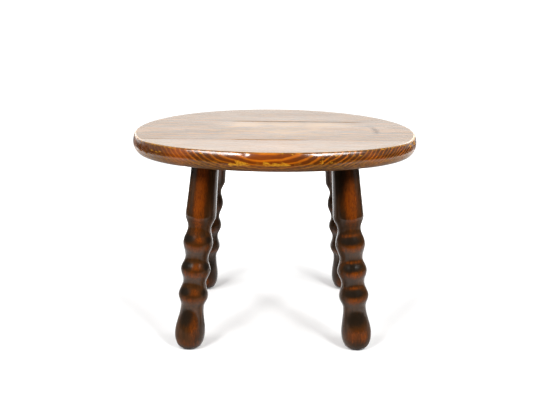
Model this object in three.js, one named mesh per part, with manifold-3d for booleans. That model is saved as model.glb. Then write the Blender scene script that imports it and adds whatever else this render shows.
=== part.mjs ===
// A low wooden milking stool: a round bullnosed seat glued up from three boards, and four
// bobbin-turned legs that splay outwards, each with a nail-on glide under its foot.
//
// Millimetres, +Z up. The origin is on the floor below the seat's centre. The seat's grain and
// its two board joints run along X, and -Y is the front.

import * as THREE from "three";
import { mergeVertices } from "three/addons/utils/BufferGeometryUtils.js";
import Module from "manifold-3d";

const wasm = await Module();
wasm.setup();

// ---------------------------------------------------------------- driving dimensions

const GAP = 0.3; // clearance between neighbouring pieces

// Seat. It was cut round and has shrunk about 3% across the grain.
const SEAT_WIDTH = 360; // along the grain
const SEAT_DEPTH = 349; // across the grain
const SEAT_TOP = 254.7; // height of the middle board's top face
const RIM_UPPER = 10.6; // from the top edge down to the widest ring
const RIM_LOWER = 12.0; // from the widest ring down to the underside
const TOP_EDGE_INSET = 2.9; // the top edge lies this far inside the widest ring
const UNDER_EDGE_INSET = 10.0; // the underside ends this far inside the widest ring
const JOINT_Y = 65; // the board joints are at this distance from the centre
const FRONT_RISE = 6.9; // the front board has sprung up by this much at its front edge
const FRONT_RISE_POWER = 1.2; // 1 is a straight slope, more is a curve that steepens

// Dowels in the board joints
const DOWEL_RADIUS = 4;
const DOWEL_LENGTH = 36;
const DOWEL_SPACING = 125;

// Legs. Stations are measured along a leg's axis from the floor.
const LEG_SQUARE_TOP = 83.7; // half of the leg square at the underside of the seat
const LEG_SQUARE_FOOT = 103.6; // half of the leg square on the floor
const LEG_SQUARE_SHIFT = 1.3; // the leg square sits this far to the right of the seat's centre
const BEAD_RADIUS = 18.3;
const WAIST_RADIUS = 14.3;
const SHOULDER_RADIUS = 18.95;
const NECK_RADIUS = 15.8; // where the leg meets the seat
const BULB_RADIUS = 18.7;
const FOOT_FLAT_RADIUS = 9.2;
const BULB_STATION = 19.5;
const SHOULDER_STATION = 168.5;

// The rounded stations between the bulb and the shoulder, from the lowest waist to the cove
const TURNING = [
  { station: 53.2, radius: WAIST_RADIUS },
  { station: 67.5, radius: BEAD_RADIUS },
  { station: 84.5, radius: WAIST_RADIUS },
  { station: 100.0, radius: BEAD_RADIUS },
  { station: 115.0, radius: WAIST_RADIUS },
  { station: 133.4, radius: BEAD_RADIUS },
  { station: 152.3, radius: WAIST_RADIUS },
];

// Tenons, their blind sockets and the wedges that spread them
const TENON_RADIUS = 12.5;
const TENON_LENGTH = 17;
const TENON_CHAMFER = 1;
const WEDGE_LENGTH = 13;
const WEDGE_WIDTH = 21;
const WEDGE_THICK_END = 3.2;
const WEDGE_THIN_END = 0.8;

// Glides
const GLIDE_RADIUS = 7.8;
const GLIDE_HEIGHT = 2.4;
const GLIDE_FLAT_RADIUS = 5.5;
const GLIDE_NAIL_RADIUS = 1.2;
const GLIDE_NAIL_LENGTH = 13;

// Facets round each turned piece
const SEAT_SEGMENTS = 64;
const LEG_SEGMENTS = 24;
const SMALL_SEGMENTS = 16;

// The four legs. The sockets were bored by hand, so each foot strays a little from its corner
// of the square on the floor.
const LEGS = [
  { name: "front_left", side: -1, end: -1, strayX: -1.5, strayY: -1.0 },
  { name: "front_right", side: 1, end: -1, strayX: 1.0, strayY: 3.5 },
  { name: "rear_left", side: -1, end: 1, strayX: 0.0, strayY: -2.0 },
  { name: "rear_right", side: 1, end: 1, strayX: 2.0, strayY: 6.5 },
];

// ---------------------------------------------------------------- worked-out dimensions

const SEAT_RADIUS = SEAT_WIDTH / 2;
const SEAT_THICKNESS = RIM_UPPER + RIM_LOWER;
const UNDERSIDE = SEAT_TOP - SEAT_THICKNESS;
const FAR = 1000; // larger than the stool

// ---------------------------------------------------------------- materials

function wood(color, roughness) {
  return new THREE.MeshStandardMaterial({ color, roughness, metalness: 0 });
}

const MATERIALS = {
  seat: () => wood(0xa8602c, 0.35),
  leg: () => wood(0x4a2412, 0.3),
  bareWood: () => wood(0xc9a06a, 0.7),
  glide: () => new THREE.MeshStandardMaterial({ color: 0x2b2a29, roughness: 0.45, metalness: 0.8 }),
};

// ---------------------------------------------------------------- solids and meshes

// A closed geometry as a solid that can be joined and cut
function solidFrom(geometry) {
  const bare = geometry.index ? geometry.toNonIndexed() : geometry.clone();
  bare.deleteAttribute("normal");
  bare.deleteAttribute("uv");
  const merged = mergeVertices(bare, 1e-4);
  const corners = merged.index.array;
  const kept = [];
  for (let i = 0; i < corners.length; i += 3) {
    const [a, b, c] = [corners[i], corners[i + 1], corners[i + 2]];
    const isTriangle = a !== b && b !== c && c !== a;
    if (isTriangle) {
      kept.push(a, b, c);
    }
  }
  const mesh = new wasm.Mesh({
    numProp: 3,
    vertProperties: new Float32Array(merged.attributes.position.array),
    triVerts: new Uint32Array(kept),
  });
  return new wasm.Manifold(mesh);
}

// A solid as a named mesh
function meshFrom(solid, name, material) {
  const { numProp, vertProperties, triVerts } = solid.getMesh();
  const positions = new Float32Array((vertProperties.length / numProp) * 3);
  for (let i = 0; i < positions.length / 3; i += 1) {
    positions.set(vertProperties.subarray(i * numProp, i * numProp + 3), i * 3);
  }
  const geometry = new THREE.BufferGeometry();
  geometry.setAttribute("position", new THREE.BufferAttribute(positions, 3));
  geometry.setIndex(new THREE.BufferAttribute(new Uint32Array(triVerts), 1));
  geometry.computeVertexNormals();
  const mesh = new THREE.Mesh(geometry, material);
  mesh.name = name;
  return mesh;
}

// A turned shape about the Z axis. The profile is a list of [radius, height], from the bottom
// of the axis to its top.
function turned(profile, segments) {
  const points = profile.map(([radius, height]) => new THREE.Vector2(radius, height));
  const geometry = new THREE.LatheGeometry(points, segments);
  geometry.rotateX(Math.PI / 2);
  return geometry;
}

// A round bar on the Z axis from one height to another
function bar(radius, low, high, segments) {
  const geometry = new THREE.CylinderGeometry(radius, radius, high - low, segments);
  geometry.rotateX(Math.PI / 2);
  geometry.translate(0, 0, (low + high) / 2);
  return geometry;
}

// Everything above a level, or everything below it, as one large block
function blockAbove(level) {
  return new THREE.BoxGeometry(FAR, FAR, FAR).translate(0, 0, level + FAR / 2);
}

function blockBelow(level) {
  return new THREE.BoxGeometry(FAR, FAR, FAR).translate(0, 0, level - FAR / 2);
}

// ---------------------------------------------------------------- leg

// Where a leg's axis meets the floor and the underside of the seat
function legEnds(leg) {
  const foot = new THREE.Vector3(
    leg.side * LEG_SQUARE_FOOT + LEG_SQUARE_SHIFT + leg.strayX,
    leg.end * LEG_SQUARE_FOOT + leg.strayY,
    0,
  );
  const top = new THREE.Vector3(
    leg.side * LEG_SQUARE_TOP + LEG_SQUARE_SHIFT,
    leg.end * LEG_SQUARE_TOP,
    UNDERSIDE,
  );
  return { foot, top };
}

// The leg's own frame: origin on the floor, Z up along the leg's axis
function legFrame(leg) {
  const { foot, top } = legEnds(leg);
  const axis = top.clone().sub(foot).normalize();
  const turn = new THREE.Quaternion().setFromUnitVectors(new THREE.Vector3(0, 0, 1), axis);
  return { foot, turn, length: top.distanceTo(foot) };
}

function frameMatrix(frame) {
  return new THREE.Matrix4().compose(frame.foot, frame.turn, new THREE.Vector3(1, 1, 1));
}

// Points on a rounded transition from one station to the next, without its first point
function roundedStep(from, to, steps) {
  const points = [];
  for (let i = 1; i <= steps; i += 1) {
    const along = i / steps;
    const blend = (1 - Math.cos(Math.PI * along)) / 2;
    const radius = from.radius + (to.radius - from.radius) * blend;
    points.push([radius, from.station + (to.station - from.station) * along]);
  }
  return points;
}

// The outline of the turning from the floor to a height just above the seat's underside
function legProfile(length) {
  const profile = [[0, 0]];
  const footSteps = 5;
  for (let i = 0; i <= footSteps; i += 1) {
    const angle = (i / footSteps) * (Math.PI / 2);
    const radius = FOOT_FLAT_RADIUS + (BULB_RADIUS - FOOT_FLAT_RADIUS) * Math.sin(angle);
    profile.push([radius, BULB_STATION * (1 - Math.cos(angle))]);
  }
  const stations = [
    { station: BULB_STATION, radius: BULB_RADIUS },
    ...TURNING,
    { station: SHOULDER_STATION, radius: SHOULDER_RADIUS },
  ];
  for (let i = 1; i < stations.length; i += 1) {
    profile.push(...roundedStep(stations[i - 1], stations[i], 3));
  }
  const overrun = 6;
  profile.push([NECK_RADIUS, length + overrun]);
  profile.push([0, length + overrun]);
  return profile;
}

// The wedge, or with an allowance the saw kerf that it fills. The kerf crosses the seat's grain.
function wedgeShape(length, allowance, width) {
  const thick = WEDGE_THICK_END / 2 + allowance;
  const thin = WEDGE_THIN_END / 2 + allowance;
  const top = length + TENON_LENGTH - GAP + allowance * 4;
  const tip = length + TENON_LENGTH - GAP - WEDGE_LENGTH - allowance;
  const outline = new THREE.Shape();
  outline.moveTo(-thin, tip);
  outline.lineTo(thin, tip);
  outline.lineTo(thick, top);
  outline.lineTo(-thick, top);
  outline.closePath();
  const geometry = new THREE.ExtrudeGeometry(outline, { depth: width, bevelEnabled: false });
  geometry.translate(0, 0, -width / 2);
  geometry.rotateX(Math.PI / 2);
  return geometry;
}

function legMesh(leg) {
  const frame = legFrame(leg);
  const toLeg = frameMatrix(frame).invert();
  const { length } = frame;
  const glideSeat = GLIDE_HEIGHT + GAP;
  const end = length + TENON_LENGTH;

  const turning = solidFrom(turned(legProfile(length), LEG_SEGMENTS));
  const tenonProfile = [
    [0, length - TENON_LENGTH],
    [TENON_RADIUS, length - TENON_LENGTH],
    [TENON_RADIUS, end - TENON_CHAMFER],
    [TENON_RADIUS - TENON_CHAMFER, end],
    [0, end],
  ];
  const tenon = solidFrom(turned(tenonProfile, LEG_SEGMENTS));
  const aboveShoulder = solidFrom(blockAbove(UNDERSIDE - GAP).applyMatrix4(toLeg));
  const belowFoot = solidFrom(blockBelow(glideSeat).applyMatrix4(toLeg));
  const kerf = solidFrom(wedgeShape(length, GAP, TENON_RADIUS * 3));
  const nailHole = bar(GLIDE_NAIL_RADIUS + GAP, 0, GLIDE_HEIGHT + GLIDE_NAIL_LENGTH + 1, SMALL_SEGMENTS);
  nailHole.translate(frame.foot.x, frame.foot.y, 0);
  const pilot = solidFrom(nailHole.applyMatrix4(toLeg));

  const solid = turning.subtract(aboveShoulder).add(tenon).subtract(kerf).subtract(belowFoot).subtract(pilot);
  const mesh = meshFrom(solid, `leg_${leg.name}`, MATERIALS.leg());
  mesh.position.copy(frame.foot);
  mesh.quaternion.copy(frame.turn);
  return mesh;
}

function wedgeMesh(leg) {
  const frame = legFrame(leg);
  const solid = solidFrom(wedgeShape(frame.length, 0, WEDGE_WIDTH));
  const mesh = meshFrom(solid, `tenon_wedge_${leg.name}`, MATERIALS.bareWood());
  mesh.position.copy(frame.foot);
  mesh.quaternion.copy(frame.turn);
  return mesh;
}

// ---------------------------------------------------------------- glide

function glideMesh(leg) {
  const { foot } = legEnds(leg);
  const shoulder = GLIDE_HEIGHT * 0.6;
  const profile = [
    [0, 0],
    [GLIDE_FLAT_RADIUS, 0],
    [GLIDE_FLAT_RADIUS + 1.5, 0.5],
    [GLIDE_RADIUS, shoulder],
    [GLIDE_RADIUS, GLIDE_HEIGHT],
    [GLIDE_NAIL_RADIUS, GLIDE_HEIGHT],
    [GLIDE_NAIL_RADIUS, GLIDE_HEIGHT + GLIDE_NAIL_LENGTH - 2],
    [0, GLIDE_HEIGHT + GLIDE_NAIL_LENGTH],
  ];
  const solid = solidFrom(turned(profile, SMALL_SEGMENTS));
  const mesh = meshFrom(solid, `foot_glide_${leg.name}`, MATERIALS.glide());
  mesh.position.copy(foot);
  return mesh;
}

// ---------------------------------------------------------------- seat

// How far the sprung front board has risen at a place y, which is negative in front. The other
// two boards are flat.
function frontRise(y) {
  const frontEdge = SEAT_DEPTH / 2;
  const along = Math.max(0, -y - JOINT_Y) / (frontEdge - JOINT_Y);
  return FRONT_RISE * along ** FRONT_RISE_POWER;
}

function noRise() {
  return 0;
}

// The rim is a bullnose: a full quarter round below the widest ring, and a flatter one above
// it that stops at a crisp top edge.
function seatProfile() {
  const flatRings = [55, 95, 130, 155];
  const lowerSteps = 5;
  const upperSteps = 3;
  const profile = [[0, 0]];
  for (const radius of flatRings) {
    profile.push([radius, 0]);
  }
  for (let i = 0; i <= lowerSteps; i += 1) {
    const angle = (i / lowerSteps) * (Math.PI / 2);
    const radius = SEAT_RADIUS - UNDER_EDGE_INSET * (1 - Math.sin(angle));
    profile.push([radius, RIM_LOWER * (1 - Math.cos(angle))]);
  }
  for (let i = 1; i <= upperSteps; i += 1) {
    const climb = i / upperSteps;
    const radius = SEAT_RADIUS - TOP_EDGE_INSET * climb ** 2;
    profile.push([radius, RIM_LOWER + RIM_UPPER * climb]);
  }
  for (const radius of flatRings.toReversed()) {
    profile.push([radius, SEAT_THICKNESS]);
  }
  profile.push([0, SEAT_THICKNESS]);
  return profile;
}

// The whole seat, with its surface lifted by riseAt(y)
function seatSolid(riseAt) {
  const geometry = turned(seatProfile(), SEAT_SEGMENTS);
  geometry.scale(1, SEAT_DEPTH / SEAT_WIDTH, 1);
  geometry.translate(0, 0, UNDERSIDE);
  const { position } = geometry.attributes;
  for (let i = 0; i < position.count; i += 1) {
    position.setZ(i, position.getZ(i) + riseAt(position.getY(i)));
  }
  return solidFrom(geometry);
}

// A blind socket with its mouth at the underside of the seat
function socketSolid(leg) {
  const frame = legFrame(leg);
  const geometry = bar(
    TENON_RADIUS + GAP,
    frame.length - TENON_LENGTH,
    frame.length + TENON_LENGTH + GAP * 2,
    LEG_SEGMENTS,
  );
  return solidFrom(geometry.applyMatrix4(frameMatrix(frame)));
}

// A bar along Y that is centred on a board joint
function dowelGeometry(radius, length) {
  return new THREE.CylinderGeometry(radius, radius, length, SMALL_SEGMENTS);
}

const DOWELS = [];
for (const [joint, y] of [["front", -JOINT_Y], ["rear", JOINT_Y]]) {
  for (const [place, x] of [["left", -DOWEL_SPACING], ["middle", 0], ["right", DOWEL_SPACING]]) {
    const centre = new THREE.Vector3(x, y, UNDERSIDE + SEAT_THICKNESS / 2);
    DOWELS.push({ name: `joint_dowel_${joint}_${place}`, centre });
  }
}

function dowelMesh(dowel) {
  const solid = solidFrom(dowelGeometry(DOWEL_RADIUS, DOWEL_LENGTH));
  const mesh = meshFrom(solid, dowel.name, MATERIALS.bareWood());
  mesh.position.copy(dowel.centre);
  return mesh;
}

// The part of the seat between two places along Y, bored for its legs and dowels
function boardMesh(name, from, to, riseAt) {
  const slab = new THREE.BoxGeometry(FAR, to - from, FAR).translate(0, (from + to) / 2, 0);
  let board = seatSolid(riseAt).intersect(solidFrom(slab));
  for (const leg of LEGS) {
    board = board.subtract(socketSolid(leg));
  }
  for (const dowel of DOWELS) {
    const hole = dowelGeometry(DOWEL_RADIUS + GAP, DOWEL_LENGTH + GAP * 4);
    const { x, y, z } = dowel.centre;
    board = board.subtract(solidFrom(hole.translate(x, y, z)));
  }
  return meshFrom(board, name, MATERIALS.seat());
}

// ---------------------------------------------------------------- assembly

const stool = new THREE.Group();
stool.name = "milking_stool";

stool.add(boardMesh("seat_board_front", -FAR / 2, -JOINT_Y - GAP / 2, frontRise));
stool.add(boardMesh("seat_board_middle", -JOINT_Y + GAP / 2, JOINT_Y - GAP / 2, noRise));
stool.add(boardMesh("seat_board_rear", JOINT_Y + GAP / 2, FAR / 2, noRise));
for (const dowel of DOWELS) {
  stool.add(dowelMesh(dowel));
}
for (const leg of LEGS) {
  stool.add(legMesh(leg));
  stool.add(wedgeMesh(leg));
  stool.add(glideMesh(leg));
}

export default stool;
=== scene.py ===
"""A worn wooden milking stool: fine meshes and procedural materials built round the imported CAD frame.

Metres, +Z up. The seat's grain runs along X and -Y is the front. MM turns millimetres into metres.
"""

import math

import bmesh
import bpy
import numpy as np
from mathutils import Matrix, Vector, noise


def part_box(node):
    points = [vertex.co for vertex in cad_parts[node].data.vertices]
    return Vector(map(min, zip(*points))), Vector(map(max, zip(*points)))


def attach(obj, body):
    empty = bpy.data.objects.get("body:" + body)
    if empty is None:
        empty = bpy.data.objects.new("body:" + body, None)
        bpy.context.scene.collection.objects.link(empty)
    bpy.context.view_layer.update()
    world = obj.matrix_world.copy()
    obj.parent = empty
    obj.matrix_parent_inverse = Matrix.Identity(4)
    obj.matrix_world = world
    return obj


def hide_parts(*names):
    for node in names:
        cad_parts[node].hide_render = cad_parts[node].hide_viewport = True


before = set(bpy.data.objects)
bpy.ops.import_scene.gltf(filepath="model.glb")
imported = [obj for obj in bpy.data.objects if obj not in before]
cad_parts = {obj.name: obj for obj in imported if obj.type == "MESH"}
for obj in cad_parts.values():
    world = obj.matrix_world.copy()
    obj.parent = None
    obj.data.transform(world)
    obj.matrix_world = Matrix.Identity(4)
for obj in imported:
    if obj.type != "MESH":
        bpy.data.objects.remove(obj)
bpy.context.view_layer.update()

MM = 0.001
BODY = "root"
PLACES = ("front_left", "front_right", "rear_left", "rear_right")

# ---------------- places read from the frame

MIDDLE_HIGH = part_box("seat_board_middle")[1]
REAR_LOW, REAR_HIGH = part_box("seat_board_rear")
FRONT_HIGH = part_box("seat_board_front")[1]
UNDERSIDE = REAR_LOW.z
SEAT_TOP = REAR_HIGH.z
THICKNESS = SEAT_TOP - UNDERSIDE
HALF_WIDTH = MIDDLE_HIGH.x
HALF_DEPTH = REAR_HIGH.y
JOINT_Y = (MIDDLE_HIGH.y + REAR_LOW.y) / 2
FRONT_RISE = FRONT_HIGH.z - SEAT_TOP

# ---------------- shapes shared with the CAD

GAP = 0.3 * MM
RIM_LOWER = 12.0 * MM
TOP_EDGE_INSET = 2.9 * MM
TOP_FILLET = 2.2 * MM
UNDER_EDGE_INSET = 10.0 * MM
FRONT_RISE_POWER = 1.2

BULB_STATION = 19.5 * MM
SHOULDER_STATION = 168.5 * MM
FOOT_FLAT_RADIUS = 9.2 * MM
BULB_RADIUS = 18.7 * MM
WAIST_RADIUS = 14.3 * MM
BEAD_RADIUS = 18.3 * MM
SHOULDER_RADIUS = 18.95 * MM
NECK_RADIUS = 15.8 * MM
TENON_RADIUS = 12.5 * MM
TENON_LENGTH = 17 * MM
TENON_CHAMFER = 1 * MM
WEDGE_LENGTH = 13 * MM
WEDGE_THICK_END = 3.2 * MM
WEDGE_THIN_END = 0.8 * MM
NAIL_HOLE_RADIUS = 1.5 * MM
NAIL_HOLE_TOP = 16.4 * MM

# Places of the waists and of the beads' crests, in millimetres along the leg from the floor
WAISTS = (53.2, 84.5, 115.0, 152.3)
BEAD_CRESTS = (67.5, 100.0, 133.4)

# (station along the leg, radius) in order from the bulb to the shoulder
TURNING = sorted(
    [(BULB_STATION, BULB_RADIUS), (SHOULDER_STATION, SHOULDER_RADIUS)]
    + [(station * MM, WAIST_RADIUS) for station in WAISTS]
    + [(station * MM, BEAD_RADIUS) for station in BEAD_CRESTS]
)

# ---------------- node graphs


class Graph:
    """Short calls that build the node tree of a material or a world."""

    def __init__(self, owner):
        owner.use_nodes = True
        owner.node_tree.nodes.clear()
        self.owner = owner
        self.tree = owner.node_tree

    def feed(self, socket, value):
        if isinstance(value, bpy.types.NodeSocket):
            self.tree.links.new(value, socket)
        else:
            socket.default_value = value

    def node(self, kind, inputs=None, **settings):
        made = self.tree.nodes.new(kind)
        for name, value in settings.items():
            setattr(made, name, value)
        for key, value in (inputs or {}).items():
            self.feed(made.inputs[key], value)
        return made

    def math(self, operation, a, b=0.0):
        return self.node("ShaderNodeMath", {0: a, 1: b}, operation=operation).outputs[0]

    def add(self, a, b):
        return self.math("ADD", a, b)

    def times(self, a, b):
        return self.math("MULTIPLY", a, b)

    def mix(self, factor, a, b):
        """Colour a where factor is 0 and colour b where it is 1."""
        made = self.node("ShaderNodeMix", data_type="RGBA")
        self.feed(made.inputs[0], factor)
        self.feed(made.inputs[6], a)
        self.feed(made.inputs[7], b)
        return made.outputs[2]

    def smooth(self, value, low, high, to_low=0.0, to_high=1.0):
        """A soft step of value from low to high."""
        inputs = {0: value, 1: low, 2: high, 3: to_low, 4: to_high}
        made = self.node("ShaderNodeMapRange", inputs, interpolation_type="SMOOTHSTEP")
        return made.outputs[0]

    def place(self):
        """The point's coordinates in millimetres."""
        inputs = {0: self.node("ShaderNodeTexCoord").outputs["Object"], 3: 1 / MM}
        return self.node("ShaderNodeVectorMath", inputs, operation="SCALE").outputs[0]

    def split(self, vector):
        """The vector's three parts."""
        return self.node("ShaderNodeSeparateXYZ", {0: vector}).outputs

    def vector(self, x, y, z):
        return self.node("ShaderNodeCombineXYZ", {0: x, 1: y, 2: z}).outputs[0]

    def stretched(self, vector, scale, shift=(0, 0, 0)):
        """The vector scaled along each axis and then shifted."""
        inputs = {0: vector, 1: scale, 2: shift}
        return self.node("ShaderNodeVectorMath", inputs, operation="MULTIPLY_ADD").outputs[0]

    def noise(self, vector, detail=2.0, roughness=0.5, scale=1.0):
        inputs = {"Vector": vector, "Scale": scale, "Detail": detail, "Roughness": roughness}
        return self.node("ShaderNodeTexNoise", inputs).outputs["Fac"]

    def swing(self, noise, amount):
        """The noise times an amount, moved to lie about 0."""
        return self.times(self.add(noise, -0.5), amount)

    def attribute(self, name):
        return self.node("ShaderNodeAttribute", attribute_name=name).outputs["Fac"]

    def bump(self, height, distance, strength, normal=None):
        inputs = {"Height": height, "Distance": distance, "Strength": strength}
        if normal is not None:
            inputs["Normal"] = normal
        return self.node("ShaderNodeBump", inputs).outputs[0]

    def finish(self, color, roughness, normal=None, **settings):
        """Ends the tree with a Principled shader, whose other sockets are named by keyword."""
        shader = self.node("ShaderNodeBsdfPrincipled")
        self.feed(shader.inputs["Base Color"], color)
        self.feed(shader.inputs["Roughness"], roughness)
        for name, value in settings.items():
            self.feed(shader.inputs[name.replace("_", " ").title().replace("Ior", "IOR")], value)
        if normal is not None:
            self.feed(shader.inputs["Normal"], normal)
            self.feed(shader.inputs["Coat Normal"], normal)
        self.node("ShaderNodeOutputMaterial", {0: shader.outputs[0]})
        return self.owner


def rgb(red, green, blue):
    return (red, green, blue, 1.0)


# ---------------- materials

WHITE = rgb(1.0, 1.0, 1.0)

# The seat's stained softwood: early wood, late wood, and the stain's streaks and blotches
EARLY_DARK = rgb(0.068, 0.021, 0.002)
EARLY_LIGHT = rgb(0.18, 0.041, 0.002)
LATE_DARK = rgb(0.19, 0.06, 0.003)
LATE_LIGHT = rgb(0.42, 0.115, 0.003)
STAIN_STREAK = rgb(0.05, 0.014, 0.002)
STAIN_BLOTCH = rgb(0.045, 0.014, 0.003)

# The seat's lower rim where hands hold it, its aged top, what wear and dirt leave, and painted shade
# along the rim's lower edge
HANDLED_DARK = rgb(0.055, 0.032, 0.012)
HANDLED_LIGHT = rgb(0.25, 0.115, 0.014)
AGED_DARK = rgb(0.15, 0.078, 0.014)
AGED_LIGHT = rgb(0.27, 0.132, 0.018)
AGED_STREAK = rgb(0.075, 0.042, 0.014)
AGED_RING = rgb(0.40, 0.2, 0.035)
AGED_TONE = rgb(0.10, 0.05, 0.014)
FADED = rgb(0.38, 0.21, 0.06)
BARE_LIGHT = rgb(0.50, 0.25, 0.018)
BARE_DARK = rgb(0.28, 0.12, 0.01)
SEAT_DIRT = rgb(0.03, 0.013, 0.004)
UNDER_STAIN = rgb(0.07, 0.026, 0.01)
LOWER_RIM_SHADE = rgb(0.05, 0.028, 0.014)

# The legs' stained hardwood, its rubbed places, and the dark patches on its beads, which are partly
# grime and partly painted shade
LEG_LIGHT = rgb(0.058, 0.021, 0.004)
LEG_DARK = rgb(0.03, 0.013, 0.003)
LEG_SHADE = rgb(0.022, 0.011, 0.004)
LEG_PORES = rgb(0.02, 0.006, 0.002)
RUBBED_LIGHT = rgb(0.215, 0.05, 0.001)
RUBBED_DARK = rgb(0.12, 0.028, 0.001)
LEG_DIRT_AND_SHADE = rgb(0.011, 0.008, 0.005)

# The bare wood inside the joints, and the glides' steel with its rust
BARE_BEECH = rgb(0.55, 0.33, 0.16)
BEECH_GRAIN = rgb(0.42, 0.23, 0.1)
BEECH_FLECK = rgb(0.25, 0.12, 0.05)
DARK_STEEL = rgb(0.03, 0.028, 0.026)
RUBBED_STEEL = rgb(0.16, 0.15, 0.14)
RUST = rgb(0.09, 0.035, 0.015)

# The width of one growth ring in millimetres
RING_WIDTH = 3.4

# The varnish is a clear coat: how rough it is on the seat and the legs, and its refractive index
SEAT_COAT_ROUGHNESS = 0.17
LEG_COAT_ROUGHNESS = 0.15
VARNISH_IOR = 1.5


def growth_rings(g, place, pith, seed):
    """Late wood from 0 to 1, in rings round a pith that runs nearly along X."""
    slow = g.noise(g.stretched(place, (0.008, 0.02, 0.02), (seed, seed * 1.7, 0)), 3.0)
    quick = g.noise(g.stretched(place, (0.03, 0.08, 0.08), (0, seed, seed * 2.3)), 3.0)
    warp = g.add(g.swing(slow, 7.0), g.swing(quick, 2.6))
    x, y, z = g.split(place)
    pith_y, pith_z, drift = pith
    across = g.add(g.add(y, -pith_y), g.times(x, drift))
    above = g.add(z, -pith_z)
    squared = g.add(g.times(across, across), g.times(above, above))
    radius = g.add(g.math("SQRT", squared), warp)
    count = g.math("DIVIDE", radius, RING_WIDTH)
    uneven = g.noise(g.vector(g.times(count, 0.6), seed, 0.0))
    saw = g.math("FRACT", g.add(count, g.swing(uneven, 0.6)))
    rise = g.smooth(saw, 0.5, 0.75)
    fall = g.smooth(saw, 0.9, 1.0, 1.0, 0.0)
    return g.times(rise, fall)


def stained_softwood(g, rings, streaks, broad, mottle):
    """Softwood's colour under stain: the late wood takes less of it, so the ring lines are lighter."""
    warm = g.attribute("warm")
    clear = g.attribute("clear")
    lighter = g.times(g.smooth(broad, 0.45, 0.75), clear)
    early = g.mix(g.math("MAXIMUM", warm, lighter), EARLY_DARK, EARLY_LIGHT)
    late = g.mix(g.math("MAXIMUM", warm, g.smooth(mottle, 0.4, 0.7)), LATE_DARK, LATE_LIGHT)
    color = g.mix(g.times(rings, clear), early, late)
    stain = g.add(1.0, g.times(warm, -0.35))
    streaked = g.times(g.smooth(streaks, 0.5, 0.72, 0.0, 0.5), stain)
    color = g.mix(streaked, color, STAIN_STREAK)
    blotched = g.times(g.smooth(mottle, 0.55, 0.75, 0.0, 0.5), stain)
    return g.mix(blotched, color, STAIN_BLOTCH)


def aged_softwood(g, rings, streaks, mottle, tone):
    """The colour that light and use have given the top. A larger tone makes a darker board."""
    color = g.mix(g.smooth(mottle, 0.35, 0.65), AGED_DARK, AGED_LIGHT)
    color = g.mix(g.smooth(streaks, 0.42, 0.65, 0.0, 0.6), color, AGED_STREAK)
    color = g.mix(g.times(rings, 0.32), color, AGED_RING)
    return g.mix(tone, color, AGED_TONE)


def seat_wood(name, pith, tone, seed):
    """Stained and varnished softwood, with the marks of use that seat_marks stores on the points, and a
    painted shade along the rim's lower edge.
    """
    g = Graph(bpy.data.materials.new(name))
    place = g.place()
    rings = growth_rings(g, place, pith, seed)
    streaks = g.noise(g.stretched(place, (0.014, 0.8, 0.8), (seed * 3, 0, 0)), 5.0, 0.65)
    broad = g.noise(g.stretched(place, (0.012, 0.04, 0.04), (seed, 2, 0)), 3.0)
    mottle = g.noise(g.stretched(place, (0.045, 0.09, 0.09), (seed, 4, 0)), 4.0, 0.6)
    grit = g.noise(place, 6.0, 0.7, 0.6)
    rubbed = g.noise(g.stretched(place, (0.16, 0.4, 0.4), (seed, 0, 7)), 6.0, 0.65)
    smudge_place = g.stretched(place, (0.012, 0.03, 0.03), (seed, 0, 5))
    smudge = g.smooth(g.noise(smudge_place, 4.0, 0.6), 0.4, 0.65)
    top = g.attribute("top")

    color = stained_softwood(g, rings, streaks, broad, mottle)
    matte = g.smooth(g.add(g.attribute("matte"), g.swing(rubbed, 2.3)), 0.2, 0.9)
    handled = g.mix(g.smooth(rubbed, 0.38, 0.62), HANDLED_DARK, HANDLED_LIGHT)
    color = g.mix(g.times(matte, 0.5), color, handled)
    color = g.mix(g.times(top, 0.78), color, aged_softwood(g, rings, streaks, mottle, tone))

    fade = g.add(g.attribute("fade"), g.swing(streaks, 0.5))
    fade = g.add(fade, g.swing(mottle, 0.7))
    color = g.mix(g.times(g.smooth(fade, 0.25, 0.95), 0.7), color, FADED)
    worn = g.smooth(g.add(g.attribute("worn"), g.swing(rubbed, 2.6)), 0.42, 0.6)
    bare = g.mix(g.smooth(grit, 0.4, 0.65), BARE_LIGHT, BARE_DARK)
    color = g.mix(g.times(worn, 0.8), color, bare)
    dirt = g.smooth(g.add(g.attribute("dirt"), g.swing(grit, 1.2)), 0.3, 0.75)
    color = g.mix(g.times(dirt, 0.8), color, SEAT_DIRT)
    under = g.smooth(g.split(place)[2], UNDERSIDE / MM + 0.4, UNDERSIDE / MM + 2.5, 1.0, 0.0)
    color = g.mix(g.times(under, 0.6), color, UNDER_STAIN)
    # Painted shade: the rim is darkened towards its rounded lower edge, which faces down
    color = g.mix(g.smooth(g.attribute("height"), 1.0, 6.0, 0.5, 0.0), color, LOWER_RIM_SHADE)

    dull = g.math("MAXIMUM", g.times(g.math("MAXIMUM", matte, worn), 0.75), under)
    dull = g.math("MAXIMUM", dull, g.times(dirt, 0.5))
    hazy = g.add(g.add(0.14, g.times(smudge, 0.1)), g.times(g.attribute("fade"), -0.16))
    dull = g.math("MAXIMUM", dull, g.times(top, hazy))
    varnish = g.add(1.0, g.times(dull, -1.0))
    roughness = g.add(0.42, g.times(mottle, 0.25))
    grain = g.add(g.times(rings, 0.4), g.times(streaks, 0.6))
    normal = g.bump(grain, 0.0001, 0.5)
    normal = g.bump(g.noise(place, 3.0, scale=0.08), 0.0012, 0.1, normal)
    return g.finish(
        color,
        roughness,
        normal,
        specular_ior_level=0.05,
        coat_weight=varnish,
        coat_roughness=SEAT_COAT_ROUGHNESS,
        coat_ior=VARNISH_IOR,
    )


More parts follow.
